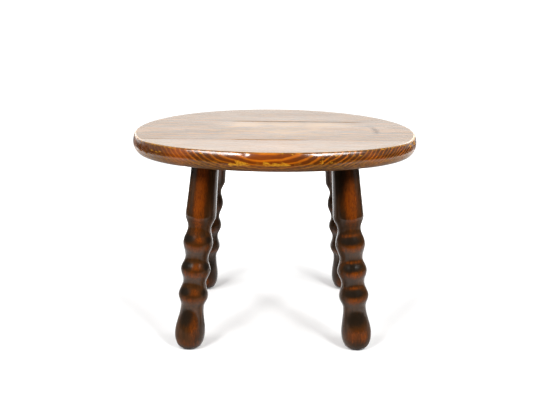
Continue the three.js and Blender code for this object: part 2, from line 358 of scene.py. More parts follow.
def leg_wood(name, seed):
    """Dark-stained turned hardwood, with lighter rubbed places and dark patches on the beads that are
    partly grime and partly painted shade.
    """
    g = Graph(bpy.data.materials.new(name))
    place = g.place()
    grain = g.noise(g.stretched(place, (0.3, 0.3, 0.025), (seed, seed, 0)), 5.0, 0.6)
    fine = g.noise(g.stretched(place, (1.6, 1.6, 0.06), (seed, 0, 0)), 4.0, 0.6)
    broad = g.noise(g.stretched(place, (0.035, 0.035, 0.02), (seed, 9, 0)), 3.0)
    grit = g.noise(place, 6.0, 0.7, 0.35)
    color = g.mix(g.smooth(grain, 0.3, 0.7), LEG_LIGHT, LEG_DARK)
    color = g.mix(g.smooth(broad, 0.4, 0.65, 0.0, 0.8), color, LEG_SHADE)
    color = g.mix(g.smooth(fine, 0.55, 0.75, 0.0, 0.5), color, LEG_PORES)
    worn = g.add(g.attribute("worn"), g.swing(grit, 0.5))
    worn = g.smooth(g.add(worn, g.add(grain, -0.5)), 0.1, 1.0)
    rubbed = g.mix(g.smooth(fine, 0.42, 0.62), RUBBED_LIGHT, RUBBED_DARK)
    color = g.mix(g.times(worn, 0.95), color, rubbed)
    # Partly painted shade: the grime darkens the beads' upper sides, where the seat above shades them,
    # and also dulls the varnish
    grime = g.smooth(g.add(g.attribute("grime"), g.swing(grit, 0.7)), 0.2, 0.85)
    color = g.mix(g.times(grime, 0.85), color, LEG_DIRT_AND_SHADE)
    matte = g.math("MAXIMUM", g.attribute("matte"), grime)
    roughness = g.add(0.45, g.times(broad, 0.2))
    normal = g.bump(fine, 0.00008, 0.5)
    normal = g.bump(g.noise(place, scale=0.12), 0.001, 0.1, normal)
    return g.finish(
        color,
        roughness,
        normal,
        specular_ior_level=0.04,
        coat_weight=g.add(1.0, g.times(matte, -0.94)),
        coat_roughness=LEG_COAT_ROUGHNESS,
        coat_ior=VARNISH_IOR,
    )


def bare_wood(name):
    """Unfinished beech, inside the joints."""
    g = Graph(bpy.data.materials.new(name))
    place = g.place()
    grain = g.noise(g.stretched(place, (0.5, 0.5, 0.5), (3, 1, 2)), 5.0, 0.6)
    fleck = g.noise(place, 3.0, scale=2.5)
    color = g.mix(g.smooth(grain, 0.3, 0.7), BARE_BEECH, BEECH_GRAIN)
    color = g.mix(g.smooth(fleck, 0.58, 0.7, 0.0, 0.5), color, BEECH_FLECK)
    normal = g.bump(grain, 0.0002, 0.5)
    return g.finish(color, g.add(0.6, g.times(grain, 0.25)), normal)


def glide_steel(name):
    """Dark pressed steel, rubbed brighter in patches."""
    g = Graph(bpy.data.materials.new(name))
    place = g.place()
    scuffs = g.noise(g.stretched(place, (1.5, 1.5, 4.0)), 5.0, 0.65)
    rust = g.noise(place, 4.0, 0.6, 0.5)
    color = g.mix(g.smooth(scuffs, 0.4, 0.7), DARK_STEEL, RUBBED_STEEL)
    color = g.mix(g.smooth(rust, 0.55, 0.75, 0.0, 0.6), color, RUST)
    roughness = g.add(0.3, g.times(scuffs, 0.3))
    normal = g.bump(scuffs, 0.0001, 0.5)
    return g.finish(color, roughness, normal, metallic=0.8)


# ---------------- mesh helpers


def new_piece(name, vertices, faces, material, attributes=None):
    """A mesh object from arrays, with float attributes on its points."""
    mesh = bpy.data.meshes.new(name)
    mesh.from_pydata([tuple(v) for v in vertices], [], faces)
    mesh.materials.append(material)
    for label, values in (attributes or {}).items():
        layer = mesh.attributes.new(label, "FLOAT", "POINT")
        layer.data.foreach_set("value", np.asarray(values, dtype=np.float32))
    made = bpy.data.objects.new(name, mesh)
    bpy.context.scene.collection.objects.link(made)
    return made


def smooth_shade(piece, sharp_degrees):
    piece.data.shade_smooth()
    piece.data.set_sharp_from_angle(angle=math.radians(sharp_degrees))


def ring_faces(rings, segments):
    """Quads between successive rings of points, the first ring at index 0."""
    faces = []
    for ring in range(rings - 1):
        for i in range(segments):
            j = (i + 1) % segments
            low = ring * segments
            high = low + segments
            faces.append((low + i, low + j, high + j, high + i))
    return faces


def close_ends(points, faces, rings, segments, bottom, top):
    """Adds a centre point and a fan of triangles at each end of a stack of rings."""
    centre = len(points)
    points += [bottom, top]
    last = (rings - 1) * segments
    for i in range(segments):
        j = (i + 1) % segments
        faces.append((centre, j, i))
        faces.append((centre + 1, last + i, last + j))


def cut_away(piece, cutters):
    """Cuts closed meshes out of a piece and keeps its material."""
    for cutter in cutters:
        cut = piece.modifiers.new("cut", "BOOLEAN")
        cut.operation = "DIFFERENCE"
        cut.solver = "EXACT"
        cut.object = cutter
    graph = bpy.context.evaluated_depsgraph_get()
    result = bpy.data.meshes.new_from_object(piece.evaluated_get(graph))
    piece.modifiers.clear()
    old = piece.data
    piece.data = result
    bpy.data.meshes.remove(old)
    material = result.materials[0]
    result.materials.clear()
    result.materials.append(material)
    indices = np.zeros(len(result.polygons), dtype=np.int32)
    result.polygons.foreach_set("material_index", indices)


def cylinder_between(start, end, radius, segments, material):
    """A closed bar used as a cutter."""
    axis = (end - start).normalized()
    side = axis.orthogonal().normalized()
    other = axis.cross(side)
    points = []
    for centre in (start, end):
        for i in range(segments):
            angle = 2 * math.pi * i / segments
            points.append(centre + radius * (math.cos(angle) * side + math.sin(angle) * other))
    faces = ring_faces(2, segments)
    faces.append(tuple(reversed(range(segments))))
    faces.append(tuple(range(segments, 2 * segments)))
    return new_piece("cutter", points, faces, material)


def remove(things):
    for thing in things:
        mesh = thing.data
        bpy.data.objects.remove(thing)
        bpy.data.meshes.remove(mesh)


def field_noise(points, scale, seed):
    """Smooth noise from -1 to 1 at each point, with scale in features per metre."""
    shift = Vector((seed * 7.31, seed * 3.17, seed * 5.93))
    return np.array([noise.noise(Vector(p) * scale + shift) for p in points])


# ---------------- legs


class LegLine:
    """A leg's axis, read from the glide under its foot and the wedge in its tenon."""

    def __init__(self, place):
        glide_low, glide_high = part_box("foot_glide_" + place)
        wedge_low, wedge_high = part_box("tenon_wedge_" + place)
        foot = (glide_low + glide_high) / 2
        self.foot = Vector((foot.x, foot.y, 0.0))
        self.axis = ((wedge_low + wedge_high) / 2 - self.foot).normalized()
        self.length = UNDERSIDE / self.axis.z
        self.foot_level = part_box("leg_" + place)[0].z
        self.shoulder_level = UNDERSIDE - GAP
        turn = Vector((0, 0, 1)).rotation_difference(self.axis)
        self.side = turn @ Vector((1, 0, 0))
        self.other = turn @ Vector((0, 1, 0))

    def at(self, station):
        return self.foot + self.axis * station


def turning_radius(station):
    """The leg's radius at a station, with rounded steps between the listed ones."""
    for (s0, r0), (s1, r1) in zip(TURNING, TURNING[1:]):
        if station <= s1:
            blend = (1 - math.cos(math.pi * (station - s0) / (s1 - s0))) / 2
            return r0 + (r1 - r0) * blend
    return TURNING[-1][1]


def leg_outline(length):
    """(station, radius) pairs from the middle of the foot to above the seat's underside."""
    outline = []
    foot_steps = 22
    for i in range(foot_steps):
        angle = (i / foot_steps) * (math.pi / 2)
        radius = FOOT_FLAT_RADIUS + (BULB_RADIUS - FOOT_FLAT_RADIUS) * math.sin(angle)
        outline.append((BULB_STATION * (1 - math.cos(angle)), radius))
    turned_steps = 120
    for i in range(turned_steps):
        station = BULB_STATION + (SHOULDER_STATION - BULB_STATION) * i / turned_steps
        outline.append((station, turning_radius(station)))
    overrun = 6 * MM
    neck_steps = 26
    for i in range(neck_steps + 1):
        along = i / neck_steps
        station = SHOULDER_STATION + (length + overrun - SHOULDER_STATION) * along
        outline.append((station, SHOULDER_RADIUS + (NECK_RADIUS - SHOULDER_RADIUS) * along))
    return outline


def bead_marks(azimuth, half_width, strength, above=6.5, half_height=5.5):
    """The same mark on each bead, by default on its upper side."""
    return [(azimuth, crest + above, half_width, half_height, strength) for crest in BEAD_CRESTS]


# Marks on a leg: degrees round from the front (+ towards +X), millimetres along the leg,
# half-width in degrees, half-height in millimetres, strength
# Dark patches, mostly on the beads' upper sides and the foot's top: partly grime, partly painted shade
# where these faces turn up towards the dark seat
LEG_GRIME_AND_SHADE = {
    "front_left": bead_marks(-42, 34, 0.9)
    + bead_marks(54, 22, 0.8)
    + bead_marks(170, 45, 0.8)
    + [(-22, 42, 40, 15, 0.8), (80, 36, 25, 16, 0.6), (-100, 45, 30, 14, 0.7)],
    "front_right": bead_marks(2, 56, 0.9)
    + bead_marks(-120, 30, 0.7)
    + bead_marks(130, 30, 0.7)
    + [(-5, 42, 65, 13, 0.85), (-25, 215, 35, 28, 0.7), (160, 38, 40, 12, 0.7)],
    "rear_left": bead_marks(-20, 45, 0.8)
    + bead_marks(150, 40, 0.8)
    + [(30, 40, 40, 14, 0.7), (-120, 40, 30, 14, 0.6)],
    "rear_right": bead_marks(30, 45, 0.8)
    + bead_marks(-140, 40, 0.8)
    + [(-20, 40, 40, 14, 0.7), (100, 44, 30, 14, 0.6)],
}

# Degrees round to the middle of the dulled front of each leg, and of its dulled inner stripe
DULL_FRONT = {"front_left": -20, "front_right": 20, "rear_left": -20, "rear_right": 20}
DULL_STRIPE = {"front_left": 46, "front_right": -46, "rear_left": 60, "rear_right": -60}


def dull_marks(place):
    """Where a leg has lost its shine: the beads, the foot, the shoulder and a long stripe."""
    front = DULL_FRONT[place]
    marks = bead_marks(front, 85, 1.0, 6.5, 13.0)
    marks += [(front, 24, 85, 28, 0.8), (front, 156, 85, 13, 0.9)]
    return marks + [(DULL_STRIPE[place], 160, 19, 130, 0.9)]


# Marks where a leg is rubbed lighter, in the same form
LEG_WEAR = {
    "front_left": bead_marks(8, 24, 0.6)
    + bead_marks(0, 80, 0.5, -4.0, 6.0)
    + [(-4, 212, 26, 70, 1.0), (18, 30, 26, 26, 0.5), (0, 9, 120, 6, 0.4)]
    + [(-19, 177, 4, 1.6, 1.2), (-10, 166, 16, 1.2, 0.8), (180, 12, 60, 8, 0.6)],
    "front_right": bead_marks(5, 60, 0.6, -2.5, 6.0)
    + bead_marks(5, 60, 0.5, 13.0, 2.5)
    + [(8, 192, 32, 36, 0.85), (0, 20, 70, 12, 0.5), (180, 14, 60, 8, 0.6)],
    "rear_left": bead_marks(0, 90, 0.5, -4.0, 5.0)
    + [(-10, 14, 80, 10, 0.5), (40, 200, 25, 30, 0.6), (180, 16, 50, 9, 0.5)],
    "rear_right": bead_marks(0, 90, 0.5, -4.0, 5.0)
    + [(10, 14, 80, 10, 0.5), (-30, 195, 25, 30, 0.6), (170, 16, 50, 9, 0.5)],
}


def mark_strength(marks, azimuth, station, edge):
    """The strongest of the marks at a point of a leg. A larger edge makes their borders sharper."""
    strongest = 0.0
    for centre, height, half_width, half_height, strength in marks:
        turn = (azimuth - centre + 180) % 360 - 180
        fall = (turn / half_width) ** 2 + ((station - height) / half_height) ** 2
        strongest = max(strongest, strength * math.exp(-(fall**edge)))
    return strongest


def hand_turned(radius, angle, station, seed):
    """The radius less a fraction of a millimetre of wobble from the lathe."""
    around = Vector((math.cos(angle), math.sin(angle), 0)) * 0.8
    wobble = noise.noise(around + Vector((seed, station * 30, 0)))
    ripple = noise.noise(around * 0.4 + Vector((0, station * 160, seed)))
    return radius - (0.16 * (1 + wobble) + 0.08 * (1 + ripple)) * MM


def make_leg(place, material, seed):
    """A turned leg with its tenon, cut level with the floor and the seat's underside."""
    line = LegLine(place)
    segments = 72
    end = line.length + TENON_LENGTH
    turning = [(0.0, 4.0 * MM), (0.0, 7.0 * MM)] + leg_outline(line.length)
    tenon = [
        (0.0, TENON_RADIUS),
        (end - 2 * TENON_CHAMFER, TENON_RADIUS),
        (end - TENON_CHAMFER, TENON_RADIUS),
        (end, TENON_RADIUS - TENON_CHAMFER),
        (end, TENON_RADIUS / 2),
    ]
    rings = turning + tenon
    points = []
    spots = {
        "grime": (LEG_GRIME_AND_SHADE[place], 1.4),
        "worn": (LEG_WEAR[place], 1.2),
        "matte": (dull_marks(place), 2.0),
    }
    marks = {label: [] for label in spots}
    for index, (station, radius) in enumerate(rings):
        on_turning = index < len(turning)
        for i in range(segments):
            angle = 2 * math.pi * i / segments
            outward = math.cos(angle) * line.side + math.sin(angle) * line.other
            azimuth = math.degrees(angle) + 90
            for label, (listed, edge) in spots.items():
                marks[label].append(mark_strength(listed, azimuth, station / MM, edge))
            local = radius
            if on_turning and radius > FOOT_FLAT_RADIUS:
                local = hand_turned(radius, angle, station, seed)
            foot_station = (line.foot_level - local * outward.z) / line.axis.z
            shoulder_station = (line.shoulder_level - local * outward.z) / line.axis.z
            if on_turning:
                here = min(max(station, foot_station), shoulder_station)
            else:
                here = max(station, shoulder_station)
            points.append(line.foot + line.axis * here + outward * local)
    faces = ring_faces(len(rings), segments)
    foot_centre = Vector((line.foot.x, line.foot.y, line.foot_level))
    close_ends(points, faces, len(rings), segments, foot_centre, line.at(end))
    for strengths in marks.values():
        strengths.extend([0.0, 0.0])
    piece = new_piece("turned_leg_" + place, points, faces, material, marks)
    cutters = [kerf_cutter(line, material), nail_cutter(line, material)]
    cut_away(piece, cutters)
    remove(cutters)
    smooth_shade(piece, 38)
    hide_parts("leg_" + place)
    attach(piece, BODY)


def kerf_cutter(line, material):
    """The saw kerf that the tenon's wedge fills, open at the tenon's end."""
    wedge_top = line.length + TENON_LENGTH - GAP
    top = wedge_top + GAP * 4
    tip = wedge_top - WEDGE_LENGTH - GAP
    thick = WEDGE_THICK_END / 2 + GAP
    thin = WEDGE_THIN_END / 2 + GAP
    reach = TENON_RADIUS * 1.5
    points = []
    for across in (-reach, reach):
        for half, station in ((-thin, tip), (thin, tip), (thick, top), (-thick, top)):
            points.append(line.at(station) + line.side * half + line.other * across)
    faces = [(0, 1, 2, 3), (7, 6, 5, 4), (0, 4, 5, 1), (1, 5, 6, 2), (2, 6, 7, 3), (3, 7, 4, 0)]
    return new_piece("cutter", points, faces, material)


def nail_cutter(line, material):
    """The upright hole in the foot for the glide's nail."""
    end = line.foot + Vector((0, 0, NAIL_HOLE_TOP))
    return cylinder_between(line.foot, end, NAIL_HOLE_RADIUS, 24, material)


# ---------------- glides

GLIDE_HEIGHT = 2.4 * MM
GLIDE_FLAT = 5.5 * MM
GLIDE_BEVEL = 0.3 * MM
NAIL_RADIUS = 1.2 * MM
NAIL_POINT = 2 * MM
NAIL_TAPER = 0.4 * MM


def make_glide(place, material):
    """A domed steel cap with a nail, turned about the vertical through the foot."""
    low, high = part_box("foot_glide_" + place)
    centre = (low + high) / 2
    radius = (high.x - low.x) / 2
    outline = [(2.5 * MM, 0.0), (GLIDE_FLAT, 0.0)]
    round_steps = 8
    for i in range(1, round_steps + 1):
        angle = (i / round_steps) * (math.pi / 2)
        out = GLIDE_FLAT + (radius - GLIDE_FLAT) * math.sin(angle)
        outline.append((out, GLIDE_HEIGHT * 0.6 * (1 - math.cos(angle))))
    outline += [
        (radius, GLIDE_HEIGHT - GLIDE_BEVEL),
        (radius - GLIDE_BEVEL, GLIDE_HEIGHT),
        (NAIL_RADIUS + NAIL_TAPER, GLIDE_HEIGHT),
        (NAIL_RADIUS, GLIDE_HEIGHT + NAIL_TAPER),
        (NAIL_RADIUS, high.z - NAIL_POINT),
        (NAIL_TAPER, high.z - NAIL_TAPER),
    ]
    segments = 48
    points = []
    for ring_radius, height in outline:
        for i in range(segments):
            angle = 2 * math.pi * i / segments
            x = centre.x + ring_radius * math.cos(angle)
            y = centre.y + ring_radius * math.sin(angle)
            points.append((x, y, height))
    faces = ring_faces(len(outline), segments)
    bottom = (centre.x, centre.y, 0.0)
    top = (centre.x, centre.y, high.z)
    close_ends(points, faces, len(outline), segments, bottom, top)
    piece = new_piece("domed_glide_" + place, points, faces, material)
    smooth_shade(piece, 50)
    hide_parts("foot_glide_" + place)
    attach(piece, BODY)


# ---------------- seat


def disc_grid(count):
    """A square grid of (count + 1)^2 points mapped smoothly onto the unit disc."""
    side = np.linspace(-1, 1, count + 1)
    u, v = np.meshgrid(side, side, indexing="ij")
    wide = np.abs(u) > np.abs(v)
    safe_u = np.where(u == 0, 1, u)
    safe_v = np.where(v == 0, 1, v)
    radius = np.where(wide, u, v)
    angle = np.where(wide, math.pi / 4 * v / safe_u, math.pi / 2 - math.pi / 4 * u / safe_v)
    angle = np.where((u == 0) & (v == 0), 0, angle)
    return (radius * np.cos(angle)).ravel(), (radius * np.sin(angle)).ravel()


def grid_border(count):
    """Indices round the grid's edge, anticlockwise from the middle of its +X side."""
    n = count
    right = [(n, j) for j in range(n // 2, n + 1)]
    top = [(i, n) for i in range(n - 1, -1, -1)]
    left = [(0, j) for j in range(n - 1, -1, -1)]
    bottom = [(i, 0) for i in range(1, n + 1)]
    right_again = [(n, j) for j in range(1, n // 2)]
    return [i * (n + 1) + j for i, j in right + top + left + bottom + right_again]


def rim_outline():
    """How far in the top's flat part ends, and (inset, height above the underside) down the rim."""
    upper = THICKNESS - RIM_LOWER
    points = []
    fillet_steps = 7
    edge_slope = math.atan2(2 * TOP_EDGE_INSET, upper)
    start_inset = TOP_EDGE_INSET + TOP_FILLET * 0.62
    for i in range(1, fillet_steps + 1):
        angle = (math.pi / 2 - edge_slope) * i / fillet_steps
        inset = start_inset - TOP_FILLET * math.sin(angle)
        points.append((inset, THICKNESS - TOP_FILLET * (1 - math.cos(angle))))
    joined_inset, joined_height = points[-1]
    full_climb = (joined_height - RIM_LOWER) / upper
    upper_steps = 9
    for i in range(1, upper_steps + 1):
        climb = full_climb * (1 - i / upper_steps)
        points.append((joined_inset * (climb / full_climb) ** 2, RIM_LOWER + upper * climb))
    lower_steps = 14
    for i in range(1, lower_steps + 1):
        angle = (math.pi / 2) * i / lower_steps
        inset = UNDER_EDGE_INSET * (1 - math.cos(angle))
        points.append((inset, RIM_LOWER * (1 - math.sin(angle))))
    return start_inset, points


def front_rise(y):
    """How far the sprung front board has risen at y."""
    along = np.maximum(0.0, -y - JOINT_Y) / (HALF_DEPTH - JOINT_Y)
    return FRONT_RISE * along**FRONT_RISE_POWER


def whole_seat():
    """The flat seat's points and faces: a top grid, the rim's rings and an underside grid."""
    count = 120
    disc_x, disc_y = disc_grid(count)
    start_inset, rim = rim_outline()
    top_radius = HALF_WIDTH - start_inset
    under_radius = HALF_WIDTH - UNDER_EDGE_INSET
    top = np.stack([disc_x * top_radius, disc_y * top_radius, np.full_like(disc_x, SEAT_TOP)], 1)
    under = np.stack([disc_x * under_radius, disc_y * under_radius, np.full_like(disc_x, UNDERSIDE)], 1)
    border = grid_border(count)
    segments = len(border)
    ring_x, ring_y = disc_x[border], disc_y[border]
    rings = []
    for inset, height in rim[:-1]:
        radius = HALF_WIDTH - inset
        level = np.full(segments, UNDERSIDE + height)
        rings.append(np.stack([ring_x * radius, ring_y * radius, level], 1))
    points = np.concatenate([top, under] + rings)
    points[:, 1] *= HALF_DEPTH / HALF_WIDTH
    faces = []
    side = count + 1
    total = side * side
    for i in range(count):
        for j in range(count):
            a, b = i * side + j, (i + 1) * side + j
            faces.append((a, b, b + 1, a + 1))
            faces.append((total + a, total + a + 1, total + b + 1, total + b))
    loops = [list(border)]
    for ring in range(len(rings)):
        start = 2 * total + ring * segments
        loops.append(list(range(start, start + segments)))
    loops.append([total + index for index in border])
    for upper, lower in zip(loops, loops[1:]):
        for i in range(segments):
            j = (i + 1) % segments
            faces.append((upper[i], lower[i], lower[j], upper[j]))
    return points, faces


# Extra rows of points beside a joint, in millimetres from it
ROWS_BY_JOINT = (0.35, 0.8, 1.5, 2.8)


def seat_section(low_y, high_y):
    """The seat between two places along Y as a closed bmesh, with more points beside its joints."""
    points, faces = whole_seat()
    shape = bmesh.new()
    for point in points:
        shape.verts.new(point)
    shape.verts.ensure_lookup_table()
    for face in faces:
        shape.faces.new([shape.verts[i] for i in face])
    for level, keep_above in ((low_y, True), (high_y, False)):
        if abs(level) > HALF_DEPTH:
            continue
        bisect(shape, level, clear_below=keep_above, clear_above=not keep_above)
        inward = 1 if keep_above else -1
        for step in ROWS_BY_JOINT:
            bisect(shape, level + inward * step * MM)
    holes = [edge for edge in shape.edges if edge.is_boundary]
    bmesh.ops.holes_fill(shape, edges=holes, sides=0)
    bmesh.ops.recalc_face_normals(shape, faces=shape.faces)
    return shape


def bisect(shape, level, clear_below=False, clear_above=False):
    """Adds a row of points where the plane Y = level meets the shape, and can clear one side."""
    geometry = shape.verts[:] + shape.edges[:] + shape.faces[:]
    bmesh.ops.bisect_plane(
        shape,
        geom=geometry,
        dist=1e-7,
        plane_co=(0, level, 0),
        plane_no=(0, 1, 0),
        clear_inner=clear_below,
        clear_outer=clear_above,
    )


def bell(distance, width):
    """A smooth hump, 1 at no distance and 0.37 at one width."""
    return np.exp(-((distance / width) ** 2))


def between(value, start, stop, softness):
    """1 between start and stop and 0 outside, with soft ends."""
    return 1 / (1 + np.exp(-(value - start) / softness)) / (1 + np.exp((value - stop) / softness))


# Worn-through patches of varnish on the rim: degrees round from the front, height above the
# underside, half-widths along and up the rim, all in millimetres but the first
RIM_WEAR = [
    (-11.5, 9.8, 8.0, 3.6),
    (-14.5, 8.5, 6.0, 1.6),
    (-2.5, 10.8, 5.0, 1.5),
    (1.5, 9.3, 17.0, 1.7),
    (4.0, 10.0, 5.0, 2.2),
    (17.2, 12.0, 2.4, 3.6),
    (20.6, 11.4, 2.2, 1.0),
    (-47.0, 15.4, 3.6, 0.7),
    (-49.0, 14.0, 3.2, 0.7),
    (-52.6, 14.8, 1.6, 0.7),
    (-51.0, 11.2, 3.6, 0.5),
    (-27.0, 18.6, 3.0, 0.7),
    (-21.5, 18.0, 2.0, 0.5),
    (13.0, 18.8, 2.4, 0.6),
    (23.0, 18.2, 3.0, 0.6),
    (29.6, 17.4, 2.4, 1.0),
    (32.5, 17.2, 2.4, 1.0),
    (73.0, 17.5, 4.0, 2.0),
    (66.0, 18.0, 5.0, 1.8),
    (138.0, 9.5, 14.0, 1.6),
    (132.0, 11.0, 5.0, 2.6),
    (-151.0, 10.6, 11.0, 1.4),
    (-146.0, 8.8, 5.0, 1.8),
    (176.0, 13.5, 7.0, 0.9),
]

# How far in from the widest ring the wear on the rim reaches, in millimetres
RIM_REACH = 6

# Stretches of the top edge where the varnish is rubbed off: degrees from and to, strength. Then,
# in millimetres, the edge's depth below the top, its half-width and how far in it reaches
EDGE_WEAR = [
    (-95.0, -34.0, 0.46),
    (-34.0, 33.0, 0.22),
    (-10.0, -6.0, 0.5),
    (33.0, 95.0, 0.44),
    (64.0, 112.0, 0.8),
    (-112.0, -66.0, 0.72),
    (120.0, 160.0, 0.42),
    (-140.0, -110.0, 0.42),
]
EDGE_DEPTH = 1.2
EDGE_HALF_WIDTH = 1.3
EDGE_REACH = 7

# Where use has thinned the finish on the top: centre x and y, half-widths, strength
TOP_FADE = [
    (8.0, 0.0, 110.0, 70.0, 0.6),
    (-34.0, 40.0, 42.0, 26.0, 0.95),
    (14.0, 42.0, 70.0, 24.0, 0.8),
    (62.0, 40.0, 48.0, 26.0, 0.9),
    (10.0, 92.0, 90.0, 24.0, 0.4),
    (0.0, -115.0, 110.0, 45.0, 0.4),
]

# Grime in a ring round the thinned area: degrees from +X, from and to, and strength, then the
# ring's centre, radius and half-width
TOP_GRIME = [(-22.0, 26.0, 0.62), (150.0, 215.0, 0.4)]
GRIME_CENTRE = (9.0, 0.0)
GRIME_RADIUS = 121.0
GRIME_REACH = 8.0

# The rim's shine starts to go this far above the underside, and has gone this much lower down
MATTE_BELOW = 13.5
MATTE_BLEND = 7.0

# On the front board: where the stain is warmest along X, and how clearly its rings show along X
WARM_X = -8.0
WARM_REACH = 42.0
WARM_SPOT_X = -108.0
WARM_SPOT_REACH = 16.0
FAINT_X = (-136.0, -124.0, -100.0, -88.0)
FAINT_CLEAR = (0.2, 0.5, 0.5, 1.0)

# Dents: degrees round from the front, height above the underside, radius and depth
RIM_DENTS = [
    (-57.0, 15.0, 3.6, 0.9),
    (-62.5, 14.0, 3.0, 0.7),
    (72.0, 17.0, 3.6, 0.9),
    (69.0, 18.5, 2.8, 0.6),
    (-10.0, 21.0, 2.8, 0.5),
    (20.0, 12.0, 3.0, 0.5),
    (41.0, 20.0, 3.0, 0.5),
    (140.0, 19.0, 4.0, 0.8),
    (-118.0, 20.0, 4.0, 0.7),
    (-165.0, 15.0, 3.0, 0.5),
]

# Board joints: where they have opened along X, as (y sign, from, to, drop of the edge)
OPEN_JOINTS = [(-1, -50.0, 34.0, 0.6), (1, -54.0, 112.0, 0.75)]


def rim_angle(x, y):
    """Degrees round the seat from the front, positive towards +X."""
    return np.degrees(np.arctan2(x, -y * HALF_WIDTH / HALF_DEPTH))


def rim_wear(radius, height, angle):
    """How far the varnish is worn through on the rim and along the top edge."""
    worn = np.zeros(len(radius))
    on_rim = radius > HALF_WIDTH / MM - RIM_REACH
    for degrees, level, along, up in RIM_WEAR:
        turn = (angle - degrees + 180) % 360 - 180
        arc = np.radians(turn) * HALF_WIDTH / MM
        reach = bell(arc, along) * bell(height - level, up)
        worn = np.maximum(worn, np.where(on_rim, reach, 0))
    edge_height = THICKNESS / MM - EDGE_DEPTH
    on_edge = radius > HALF_WIDTH / MM - EDGE_REACH
    near_edge = bell(height - edge_height, EDGE_HALF_WIDTH) * on_edge
    for start, stop, strength in EDGE_WEAR:
        worn = np.maximum(worn, near_edge * between(angle, start, stop, 3) * strength)
    return worn


def top_fade(x, y):
    """How far use has thinned the finish, on an endless top."""
    fade = np.zeros(len(x))
    for centre_x, centre_y, half_x, half_y, strength in TOP_FADE:
        fade = np.maximum(fade, bell(x - centre_x, half_x) * bell(y - centre_y, half_y) * strength)
    return fade


def top_grime(x, y):
    """How dirty the ring round the thinned area is."""
    from_x, from_y = x - GRIME_CENTRE[0], y - GRIME_CENTRE[1]
    turn = np.degrees(np.arctan2(from_y, from_x)) % 360
    ring = bell(np.hypot(from_x, from_y) - GRIME_RADIUS, GRIME_REACH)
    grime = np.zeros(len(x))
    for start, stop, strength in TOP_GRIME:
        for whole in (-360, 0, 360):
            inside = bell(turn + whole - (start + stop) / 2, (stop - start) / 2)
            grime = np.maximum(grime, ring * inside * strength)
    return grime


def seat_marks(points):
    """The seat_wood material's attributes at each point of the flat seat, before it is shaped."""
    x, y, z = points.T / MM
    height = z - UNDERSIDE / MM
    radius = np.hypot(x, y * HALF_WIDTH / HALF_DEPTH)
    on_top = height > THICKNESS / MM - 1.5
    in_front = y < -JOINT_Y / MM
    warm = np.maximum(bell(x - WARM_X, WARM_REACH), bell(x - WARM_SPOT_X, WARM_SPOT_REACH))
    return {
        "worn": rim_wear(radius, height, rim_angle(x, y)),
        "dirt": np.where(on_top, top_grime(x, y), 0),
        "fade": np.where(on_top, top_fade(x, y), 0),
        "top": np.clip((height - THICKNESS / MM + 1.4) / 1.2, 0, 1),
        "height": height,
        "matte": np.clip((MATTE_BELOW - height) / MATTE_BLEND, 0, 1),
        "warm": np.where(in_front, warm, 0.0),
        "clear": np.where(in_front, np.interp(x, FAINT_X, FAINT_CLEAR), 1.0),
    }


def open_joint(points, sign, start, stop, drop, seed):
    """How far a joint's edges have dropped, in millimetres, and how dirty its crack is."""
    distance = np.abs(points[:, 1] - sign * JOINT_Y) / MM
    opened = between(points[:, 0] / MM, start, stop, 4)
    ragged = 0.75 + 0.35 * field_noise(points, 90, seed + sign)
    fall = bell(distance, 1.1) * (0.02 + opened * drop * ragged)
    crack = np.maximum(bell(distance, 0.8) * 0.66, bell(distance, 1.8) * 0.36 * opened)
    return np.maximum(fall, 0), crack


def shape_section(shape, seed):
    """Lowers opened joint edges, dents the rim, weathers the top and springs the front."""
    shape.normal_update()
    points = np.array([v.co[:] for v in shape.verts])
    normals = np.array([v.normal[:] for v in shape.verts])
    marks = seat_marks(points)
    y, z = points[:, 1], points[:, 2]
    shift = np.zeros_like(points)
    top_side = z > SEAT_TOP - 1 * MM
    for joint in OPEN_JOINTS:
        fall, crack = open_joint(points, *joint, seed)
        shift[:, 2] -= np.where(top_side, fall, 0) * MM
        marks["dirt"] = np.maximum(marks["dirt"], np.where(top_side, crack, 0))
    for degrees, level, radius, depth in RIM_DENTS:
        a = math.radians(degrees)
        height = UNDERSIDE + level * MM
        centre = np.array([HALF_WIDTH * math.sin(a), -HALF_DEPTH * math.cos(a), height])
        away = np.linalg.norm(points - centre, axis=1) / MM
        dent = bell(away, radius) * depth * MM
        shift -= normals * dent[:, None]
        marks["dirt"] = np.maximum(marks["dirt"], bell(away, radius * 0.6) * 0.5)
    broad_waves = field_noise(points * np.array([0.35, 1, 1]), 28, seed)
    waves = broad_waves + 0.5 * field_noise(points, 60, seed + 5)
    shift[:, 2] -= np.where(top_side, (1.5 + waves) * 0.09 * MM, 0)
    points = points + shift
    points[:, 2] += front_rise(y)
    return points, marks


def socket_cutters(low_y, high_y, lines, material):
    """The blind sockets for the legs' tenons and the joint dowels that reach this board."""
    cutters = []
    for line in lines:
        if low_y < line.at(line.length).y < high_y:
            start = line.at(line.length - TENON_LENGTH)
            end = line.at(line.length + TENON_LENGTH + 2 * GAP)
            cutters.append(cylinder_between(start, end, TENON_RADIUS + GAP, 64, material))
    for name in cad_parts:
        if name.startswith("joint_dowel_"):
            low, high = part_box(name)
            centre = (low + high) / 2
            half = Vector((0, (high.y - low.y) / 2 + 2 * GAP, 0))
            radius = (high.x - low.x) / 2 + GAP
            if low_y < centre.y + half.y and centre.y - half.y < high_y:
                cutters.append(cylinder_between(centre - half, centre + half, radius, 32, material))
    return cutters


